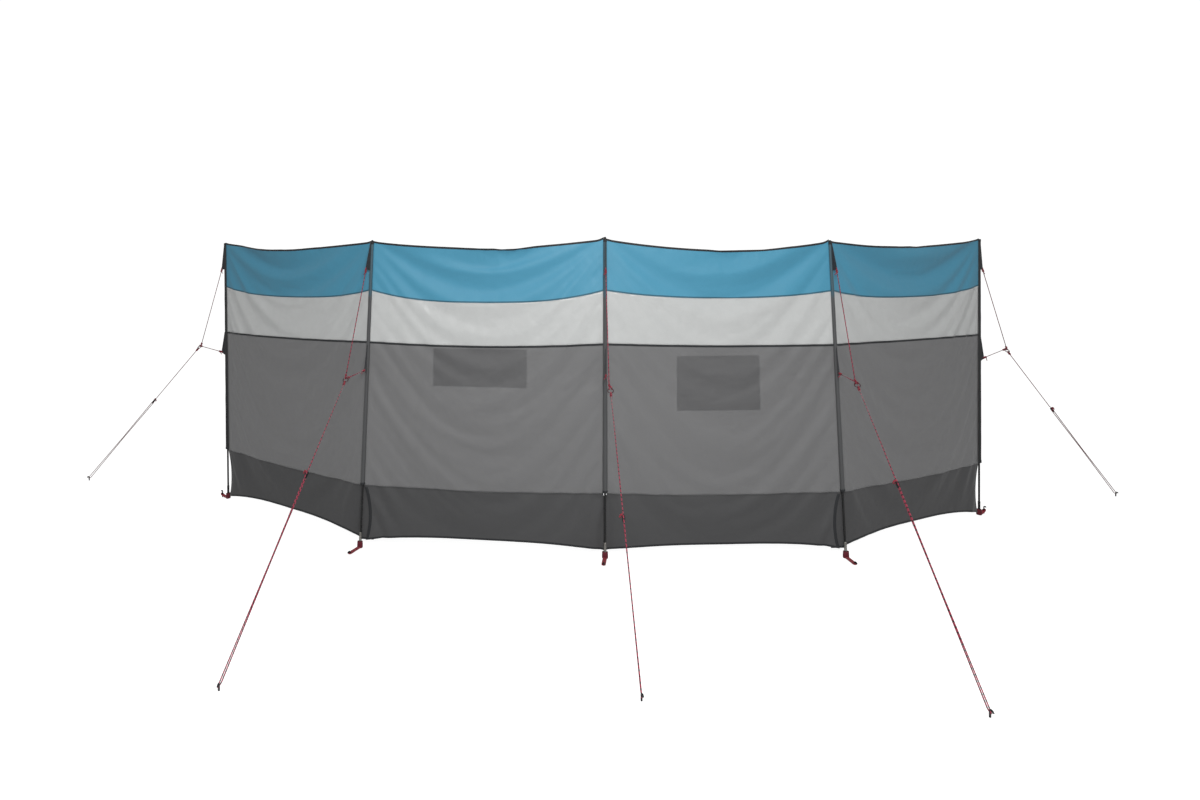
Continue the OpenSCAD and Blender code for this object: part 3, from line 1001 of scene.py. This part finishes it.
class WINDBREAK_OT_poles(bpy.types.Operator):
    """Finish the pole rods, and make their ferrules and tip knobs"""

    bl_idname = "windbreak.poles"
    bl_label = "Poles"

    def execute(self, context):
        for pole in POLES:
            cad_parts[f"pole_{pole}"].data.materials.clear()
            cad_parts[f"pole_{pole}"].data.materials.append(FINISHES["rod"])
        for name, node, poles, finish, slot, profile in (
                ("ferrules", "pole_ferrules", (2, 3, 4), "ferrule", "ferrule", ferrule_profile),
                ("end_ferrules", "pole_ferrules", (1, 5), "plastic", "ferrule", ferrule_profile),
                ("tip_plugs", "pole_caps", POLES, "plastic", "black_plastic", plug_profile)):
            bm = bmesh.new()
            for pole in poles:
                points = points_near(node, pole)
                low, high = min(p.z for p in points), max(p.z for p in points)
                axis = (AXES[pole][1] - AXES[pole][0]).normalized()
                add_lathe(bm, profile(high - low), on_axis(pole, low), axis)
            piece = dress(finished(bm, name), FINISHES[finish], slot)
            if name != "end_ferrules":
                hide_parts(node)
        return {"FINISHED"}


def ferrule_profile(height):
    """A crimped tube with a rolled upper rim, a chamfered end and a socket for the rod."""
    outer, inner = POLE_R + 1.25 * MM, POLE_R + 0.1 * MM
    crimp = [(outer, 0.62), (outer - 0.4 * MM, 0.64), (outer - 0.4 * MM, 0.66), (outer, 0.68)]
    second = [(r, share + 0.12) for r, share in crimp]
    body = [(0.0, 0.0), (outer - 1.0 * MM, 0.0), (outer, 0.015)] + crimp + second
    rim = [(outer, 0.95), (outer + 0.4 * MM, 0.965), (outer + 0.4 * MM, 0.985), (outer, 1.0)]
    return [(r, share * height) for r, share in body + rim + [(inner, 1.0), (inner, 0.35), (0.0, 0.35)]]


def plug_profile(height):
    """A moulded plug as wide as the rod, with a rounded lip and a domed end."""
    outer = POLE_R + 0.1 * MM
    shape = [(0.0, 0.0), (outer, 0.0), (outer, 0.42), (outer + 0.4 * MM, 0.46),
             (outer + 0.5 * MM, 0.56), (outer + 0.3 * MM, 0.68), (outer * 0.9, 0.82),
             (outer * 0.68, 0.93), (outer * 0.36, 0.985), (0.0, 1.0)]
    return [(r, share * height) for r, share in shape]


# ---------------------------------------------------------------- tabs, rings and guys


def ring_place(pole):
    return box_middle(points_near("guy_rings", pole))


WIRE_R = 2 * MM
RING_R = max((p - ring_place(3)).length for p in points_near("guy_rings", 3)) - WIRE_R


def ring_axis(pole):
    """The direction square to a ring, which lies across the upright plane of its guy."""
    middle = ring_place(pole)
    lead = heading(pole)
    rim = [p - middle for p in points_near("guy_rings", pole)]
    level = max(rim, key=lambda r: plan(r).cross(lead).length)
    steep = min(rim, key=lambda r: r.z)
    return level.cross(steep).normalized()


def heading(pole):
    """The level direction in which a pole's guy line leads away."""
    ring = ring_place(pole)
    return plan(ring - on_axis(pole, ring.z)).normalized()


def tab_shape(node, pole):
    """A tab's level direction, its corners as (reach, height), and its free corner."""
    points = points_near(node, pole)
    reaches = [plan(p - on_axis(pole, p.z)) for p in points]
    root, tip = min(r.length for r in reaches), max(r.length for r in reaches)
    far = [k for k, r in enumerate(reaches) if r.length > tip - 7 * MM]
    out = sum((reaches[k] for k in far), Vector((0, 0, 0))).normalized()
    ends = [points[k].z for k in far]
    low, high = min(p.z for p in points), max(p.z for p in points)
    inner = root - 1.5 * MM
    corners = [(inner, high), (root + 2 * MM, high), (tip, max(ends)),
               (tip - 0.5 * MM, min(ends) + 3 * MM), (tip - 4 * MM, min(ends)), (inner, low)]
    middle = (max(ends) + min(ends)) / 2
    return out, corners, on_axis(pole, middle) + out * (tip - 3 * MM)


class WINDBREAK_OT_tabs(bpy.types.Operator):
    """Make the three-cornered webbing tabs that the guy cords pull on"""

    bl_idname = "windbreak.tabs"
    bl_label = "Webbing Tabs"

    def execute(self, context):
        thickness = context.scene.windbreak_fittings.strap_thickness
        for name, node in (("top_tab_webbing", "top_tabs"), ("mid_tab_webbing", "mid_tabs")):
            bm = bmesh.new()
            uv = bm.loops.layers.uv.new("Cloth")
            thread = bmesh.new()
            for pole in POLES:
                out, corners, _ = tab_shape(node, pole)
                side = out.cross(UP)

                def place(corner):
                    return on_axis(pole, corner[1]) + out * corner[0]

                verts = [bm.verts.new(place(c) - side * thickness / 2) for c in corners]
                face = bm.faces.new(verts)
                for loop, corner in zip(face.loops, corners):
                    loop[uv].uv = corner
                made = bmesh.ops.extrude_face_region(bm, geom=[face])
                moved = [v for v in made["geom"] if isinstance(v, bmesh.types.BMVert)]
                bmesh.ops.translate(bm, vec=side * thickness, verts=moved)
                (inner, high), _, (tip, tip_high), _, _, (_, low) = corners
                hem = [(inner + 3 * MM, high - 9 * MM), (tip - 6 * MM, tip_high - 3 * MM),
                       (inner + 3 * MM, low + 5 * MM)]
                line = [place(c) for c in hem + hem[:1]]
                for face_side in (-1, 1):
                    lift = side * face_side * (thickness / 2 + 0.1 * MM)
                    add_stitches(thread, [p + lift for p in line])
            bmesh.ops.recalc_face_normals(bm, faces=bm.faces)
            piece = finished(bm, name, smooth=False)
            bevel(piece, 0.6 * MM)
            dress(piece, FINISHES["tab"], "tab_webbing", node)
            dress(finished(thread, f"{name}_stitches"), FINISHES["thread"], "tab_webbing")
        return {"FINISHED"}


def add_stitches(bm, line, length=3 * MM, gap=1.4 * MM, radius=0.35 * MM):
    """Lays a row of stitches along a line of points, each a short round-ended thread."""
    for a, b in zip(line, line[1:]):
        run = (b - a).length
        count = max(1, int(run / (length + gap)))
        pitch = run / count
        step = (b - a).normalized()
        for k in range(count):
            start = a + step * (k * pitch + gap / 2)
            add_tube(bm, [start, start + step * (pitch - gap)], radius, sides=5)


def eye(centre, away, normal, radius, neck):
    """A loop of cord round a centre that closes at a neck on the side it leads away."""
    side = normal.cross(away).normalized()
    turns = 14
    first = math.radians(35)
    points = [centre + away * neck + side * 0.9 * MM]
    for k in range(turns + 1):
        turn = first + (2 * math.pi - 2 * first) * k / turns
        points.append(centre + (away * math.cos(turn) + side * math.sin(turn)) * radius)
    return points + [centre + away * neck - side * 0.9 * MM]


def add_knot(bm, at, along, cord_r, turns=4):
    """A barrel knot: close turns of cord wound round the cord itself."""
    one = along.orthogonal().normalized()
    other = along.cross(one)
    count = 10 * turns
    wound = cord_r * 1.9
    points = []
    for k in range(count + 1):
        turn = 2 * math.pi * turns * k / count
        rise = along * (k / count - 0.5) * cord_r * 2.1 * turns
        points.append(at + rise + (one * math.cos(turn) + other * math.sin(turn)) * wound)
    add_tube(bm, points, cord_r, sides=8)


ANCHOR_Z = 14 * MM  # height at which the cord reaches its peg
NECK = 12 * MM  # from the middle of an eye to its knot
EYE_R = 4.2 * MM  # radius of an eye on a ring
APART = 4.5 * MM  # from the middle of a slider to each strand through it
LEAD_IN = 16 * MM  # from the middle of a slider to where the strands spread
PEG_LOOP = 5.4 * MM  # how far beyond the peg's middle the cord turns back


class WINDBREAK_OT_guys(bpy.types.Operator):
    """Make the forked guy cords, with their eyes and knots"""

    bl_idname = "windbreak.guys"
    bl_label = "Guy Cords"

    def execute(self, context):
        cord_r = context.scene.windbreak_fittings.cord_diameter / 2
        for pole in POLES:
            ring = ring_place(pole)
            slider = box_middle(points_near("guy_sliders", pole))
            side = heading(pole).cross(UP)
            foot = [p for p in points_near("ground_pegs", pole, least=0.5) if p.z < 1 * MM]
            anchor = box_middle(foot) + UP * ANCHOR_Z
            down = (anchor - ring).normalized()
            over = side.cross(down).normalized()
            bm, knots = bmesh.new(), bmesh.new()
            for turn, node in ((-0.4, "top_tabs"), (0.4, "mid_tabs")):
                start = tab_shape(node, pole)[2]
                wire = ring - (down * math.cos(turn) + side * math.sin(turn)) * RING_R
                away = (wire - start).normalized()
                add_tube(knots, eye(start, away, side, 4.5 * MM, NECK), cord_r)
                add_tube(knots, eye(wire, -away, side, EYE_R, NECK), cord_r)
                add_tube(bm, [start + away * NECK * 0.8, wire - away * NECK * 0.8], cord_r)
                add_knot(knots, start + away * NECK, away, cord_r)
                add_knot(knots, wire - away * NECK, away, cord_r, turns=2)
                tail = (UP * -0.8 + side * 0.5).normalized()
                add_tube(bm, rounded([start + away * NECK, start + away * (NECK + 6 * MM) + tail * 5 * MM,
                                      start + away * NECK + tail * 20 * MM], 3 * MM), cord_r * 0.9)
            wire = ring + down * RING_R
            add_tube(knots, eye(wire, down, side, EYE_R, NECK), cord_r)
            add_knot(knots, wire + down * NECK, down, cord_r, turns=3)
            middle = slider.lerp(anchor, 0.45)
            flat = plan(down).normalized()
            add_tube(bm, rounded([wire + down * NECK * 0.8,
                                  slider - down * 26 * MM,
                                  slider - down * LEAD_IN + over * APART,
                                  slider + over * APART,
                                  slider + down * LEAD_IN + over * APART,
                                  middle + over * 2.2 * MM,
                                  anchor - down * 14 * MM + over * 5.5 * MM,
                                  anchor + flat * PEG_LOOP + UP * 3 * MM,
                                  anchor + flat * PEG_LOOP - UP * 3 * MM,
                                  anchor - down * 14 * MM - over * 5.5 * MM,
                                  middle - over * 2.2 * MM,
                                  slider + down * LEAD_IN - over * APART,
                                  slider - over * APART], 3.5 * MM), cord_r)
            add_tube(knots, eye(slider - down * 8 * MM + side * 9 * MM, (over - down * 0.4).normalized(),
                                down, 5 * MM, 9 * MM), cord_r)
            add_knot(knots, slider - down * 12 * MM + side * 7 * MM + over * 5 * MM, down, cord_r, turns=2)
            finish = "end_cord" if pole in (1, 5) else "cord"
            dress(finished(bm, f"guy_cord_{pole}"), FINISHES[finish], "guy_cord", f"guy_line_{pole}")
            dress(finished(knots, f"guy_knots_{pole}"), FINISHES["knot"], "guy_cord")
        return {"FINISHED"}


class WINDBREAK_OT_rings(bpy.types.Operator):
    """Make the guy rings and finish the sliders"""

    bl_idname = "windbreak.rings"
    bl_label = "Rings and Sliders"

    def execute(self, context):
        bm = bmesh.new()
        for pole in POLES:
            profile = [(RING_R + WIRE_R * math.cos(t), WIRE_R * math.sin(t))
                       for t in (2 * math.pi * k / 12 for k in range(12))]
            add_lathe(bm, profile, ring_place(pole), ring_axis(pole), steps=40)
        dress(finished(bm, "rings"), FINISHES["ring"], "ring_metal", "guy_rings")
        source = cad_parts["guy_sliders"]
        bm = bmesh.new()
        bm.from_mesh(source.data)
        bmesh.ops.remove_doubles(bm, verts=bm.verts, dist=1e-5)
        bmesh.ops.dissolve_limit(bm, angle_limit=math.radians(1), verts=bm.verts, edges=bm.edges)
        bmesh.ops.recalc_face_normals(bm, faces=bm.faces)
        piece = finished(bm, "line_sliders", smooth=False)
        bevel(piece, 0.7 * MM, segments=3)
        dress(piece, FINISHES["plastic"], "black_plastic", "guy_sliders")
        return {"FINISHED"}


# ---------------------------------------------------------------- feet and pegs


class WINDBREAK_OT_pegs(bpy.types.Operator):
    """Make the bent-rod pegs at the guys and at the feet"""

    bl_idname = "windbreak.pegs"
    bl_label = "Pegs"

    def execute(self, context):
        bm = bmesh.new()
        for pole in POLES:
            for least, most in ((0.5, 9.0), (0.0, 0.5)):
                points = points_near("ground_pegs", pole, least, most)
                stem = box_middle([p for p in points if p.z < 1 * MM])
                top = max(p.z for p in points) - 3 * MM
                hook = max(points, key=lambda p: (plan(p) - plan(stem)).length)
                out = plan(hook - stem).normalized()
                path = rounded([stem, stem + UP * top, stem + UP * top + out * 9 * MM,
                                stem + UP * (top - 5 * MM) + out * 13 * MM], 4 * MM, steps=6)
                add_tube(bm, path, 3 * MM, sides=12)
        dress(finished(bm, "pegs"), FINISHES["peg"], "peg_steel", "ground_pegs")
        return {"FINISHED"}


CUP_HALF = 4 * MM  # half the straight side of a foot cup
CUP_R = 7.8 * MM  # radius of its round ends


def cup_reach(turn, half=CUP_HALF, radius=CUP_R):
    """The reach of a round-ended oblong in a direction, given from its long axis."""
    along, across = abs(math.cos(turn)), abs(math.sin(turn))
    if across * half <= radius * along * 1e3 and radius * along <= half * across:
        return radius / across
    return half * along + math.sqrt(max(0.0, radius ** 2 - (half * across) ** 2))


class WINDBREAK_OT_feet(bpy.types.Operator):
    """Make the webbing cups under the ferrules, and the tongues that lead to the pegs"""

    bl_idname = "windbreak.feet"
    bl_label = "Feet"

    def execute(self, context):
        thickness = context.scene.windbreak_fittings.strap_thickness
        cups, tongues, eyelets, thread = (bmesh.new() for _ in range(4))
        uv = tongues.loops.layers.uv.new("Cloth")
        tongues.from_mesh(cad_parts["foot_loops"].data)
        bmesh.ops.remove_doubles(tongues, verts=tongues.verts, dist=1e-5)
        bmesh.ops.dissolve_limit(tongues, angle_limit=math.radians(1), verts=tongues.verts,
                                 edges=tongues.edges)
        for pole in POLES:
            foot = plan(on_axis(pole, 0))
            stem = plan(box_middle([p for p in points_near("ground_pegs", pole, 0.0, 0.5)
                                    if p.z < 1 * MM]))
            out = (stem - foot).normalized()
            side = out.cross(UP)
            top = max(p.z for p in points_near("foot_straps", pole)) - 1 * MM
            levels = [1.2, 1.25, 1.3, 1.6, 2.6, 5.0, 9.0, 14.0, 19.0, 23.0]
            path = [foot + UP * z * MM for z in levels] + [foot + UP * top]
            swell = [0.66, 0.76, 0.86, 0.93, 0.98, 1.02, 1.04, 1.03, 1.0, 0.97, 0.95]
            start = UP.orthogonal().normalized()
            lead = math.atan2(start.cross(side).z, start.dot(side))

            def reach(row, share):
                """A pressed cup: oblong, a little swollen low down."""
                return cup_reach(2 * math.pi * share - lead) * swell[row]

            add_tube(cups, path, reach, sides=40, caps=False)
            for level in (4, 9):
                ring = [path[level] + (side * math.cos(t) * cup_reach(t)
                                       + out * math.sin(t) * cup_reach(t))
                        * (swell[level] + 0.12) for t in (2 * math.pi * k / 20 for k in range(21))]
                add_stitches(thread, ring)
            rim = max(v.co.z for v in tongues.verts if plan(v.co - stem).length < 4.2 * MM)
            for at, height in ((foot, 3.4 * MM), (stem, rim + 0.5 * MM)):
                bore = 6.4 * MM if at is foot else 3.7 * MM
                profile = [(bore + 1.4 * MM + 1.3 * MM * math.cos(t), 0.8 * MM * math.sin(t))
                           for t in (2 * math.pi * k / 10 for k in range(10))]
                add_lathe(eyelets, profile, at + UP * height, UP)
            for v in tongues.verts:
                if nearest_pole(v.co) == pole:
                    along = (v.co - foot).dot(out)
                    if along < 12 * MM:
                        v.co -= out * 3 * MM
                    for loop in v.link_loops:
                        loop[uv].uv = ((v.co - foot).dot(out), (v.co - foot).dot(side))
        bmesh.ops.recalc_face_normals(tongues, faces=tongues.faces)
        cup = finished(cups, "foot_webbing")
        solidify(cup, thickness)
        dress(cup, FINISHES["strap"], "red_webbing", "foot_straps")
        tongue = finished(tongues, "foot_tongues", smooth=False)
        bevel(tongue, 0.7 * MM)
        dress(tongue, FINISHES["tongue"], "red_webbing", "foot_loops")
        dress(finished(eyelets, "foot_eyelets"), FINISHES["plastic"], "black_plastic")
        dress(finished(thread, "foot_stitches"), FINISHES["thread"], "red_webbing")
        return {"FINISHED"}


# ---------------------------------------------------------------- the stage


VIEW_FROM = (-0.497, -3.27, 1.27)
LENS, SENSOR = 22.5, 36.0  # millimetres
SHIFT = (0.0908, -0.1108)
# Each light's name, place, target, size and watts
LIGHTS = (
    ("key_light", (-0.1, -3.0, 2.4), (0.0, 0.1, 0.7), 1.2, 78.0),
    ("fill_light", (0.0, 4.5, 3.0), (0.0, 0.2, 0.7), 3.0, 25.0),
)


class WINDBREAK_OT_stage(bpy.types.Operator):
    """Make the pale floor, the soft studio light and the camera"""

    bl_idname = "windbreak.stage"
    bl_label = "Stage"

    def execute(self, context):
        scene = context.scene
        scene.view_settings.view_transform = "Standard"
        bm = bmesh.new()
        bmesh.ops.create_circle(bm, cap_ends=True, segments=96, radius=60.0)
        floor = finished(bm, "floor")
        floor.location.z = CAD_BOX[0].z - 0.5 * MM
        made, tree = new_material("Pale studio floor")
        surface = add_node(tree, "ShaderNodeBsdfPrincipled",
                           {"Base Color": (0.6, 0.6, 0.6, 1.0), "Roughness": 0.9,
                            "Emission Color": (1.0, 1.0, 1.0, 1.0)})
        shown = add_node(tree, "ShaderNodeLightPath").outputs["Is Camera Ray"]
        glow = add_node(tree, "ShaderNodeMath", {0: shown, 1: 0.8}, operation="MULTIPLY")
        tree.links.new(glow.outputs[0], surface.inputs["Emission Strength"])
        floor.data.materials.append(finish_material(made, tree, surface))
        world = bpy.data.worlds.new("Studio")
        world.use_nodes = True
        tree = world.node_tree
        back = tree.nodes["Background"]
        back.inputs["Color"].default_value = (1.0, 1.0, 1.0, 1.0)
        seen = add_node(tree, "ShaderNodeLightPath").outputs["Is Camera Ray"]
        level = add_node(tree, "ShaderNodeMapRange", {"Value": seen, "To Min": 0.42, "To Max": 1.05})
        tree.links.new(level.outputs[0], back.inputs["Strength"])
        scene.world = world
        for name, place, target, size, watts in LIGHTS:
            lamp = bpy.data.lights.new(name, "AREA")
            lamp.size = size
            lamp.energy = watts
            made = bpy.data.objects.new(name, lamp)
            made.location = place
            aim = Vector(target) - Vector(place)
            made.rotation_euler = aim.to_track_quat("-Z", "Y").to_euler()
            scene.collection.objects.link(made)
        camera = bpy.data.cameras.new("camera")
        camera.sensor_width = SENSOR
        camera.lens = LENS
        camera.shift_x, camera.shift_y = SHIFT
        view = bpy.data.objects.new("camera", camera)
        view.location = VIEW_FROM
        view.rotation_euler = (math.radians(90), 0, 0)
        scene.collection.objects.link(view)
        scene.camera = view
        return {"FINISHED"}


class WINDBREAK_PT_panel(bpy.types.Panel):
    """Lists the steps that dress the windbreak"""

    bl_label = "Beach Windbreak"
    bl_idname = "WINDBREAK_PT_panel"
    bl_space_type = "VIEW_3D"
    bl_region_type = "UI"
    bl_category = "Windbreak"

    def draw(self, context):
        for operator in OPERATORS:
            self.layout.operator(operator.bl_idname)


SETTINGS = {
    "windbreak_cloth": WindbreakClothSettings,
    "windbreak_fittings": WindbreakFittingSettings,
    "windbreak_colours": WindbreakColours,
}
OPERATORS = (
    WINDBREAK_OT_stage, WINDBREAK_OT_bays, WINDBREAK_OT_pockets, WINDBREAK_OT_sleeves,
    WINDBREAK_OT_poles, WINDBREAK_OT_tabs, WINDBREAK_OT_rings, WINDBREAK_OT_guys,
    WINDBREAK_OT_pegs, WINDBREAK_OT_feet,
)


def register():
    for name, group in SETTINGS.items():
        bpy.utils.register_class(group)
        setattr(bpy.types.Scene, name, PointerProperty(type=group))
    for item in OPERATORS + (WINDBREAK_PT_panel,):
        bpy.utils.register_class(item)


def unregister():
    for item in reversed(OPERATORS + (WINDBREAK_PT_panel,)):
        bpy.utils.unregister_class(item)
    for name, group in SETTINGS.items():
        delattr(bpy.types.Scene, name)
        bpy.utils.unregister_class(group)


def main():
    """Builds everything in order."""
    register()
    make_finishes()
    for operator in OPERATORS:
        getattr(bpy.ops.windbreak, operator.bl_idname.split(".")[1])()


if __name__ == "__main__":
    main()
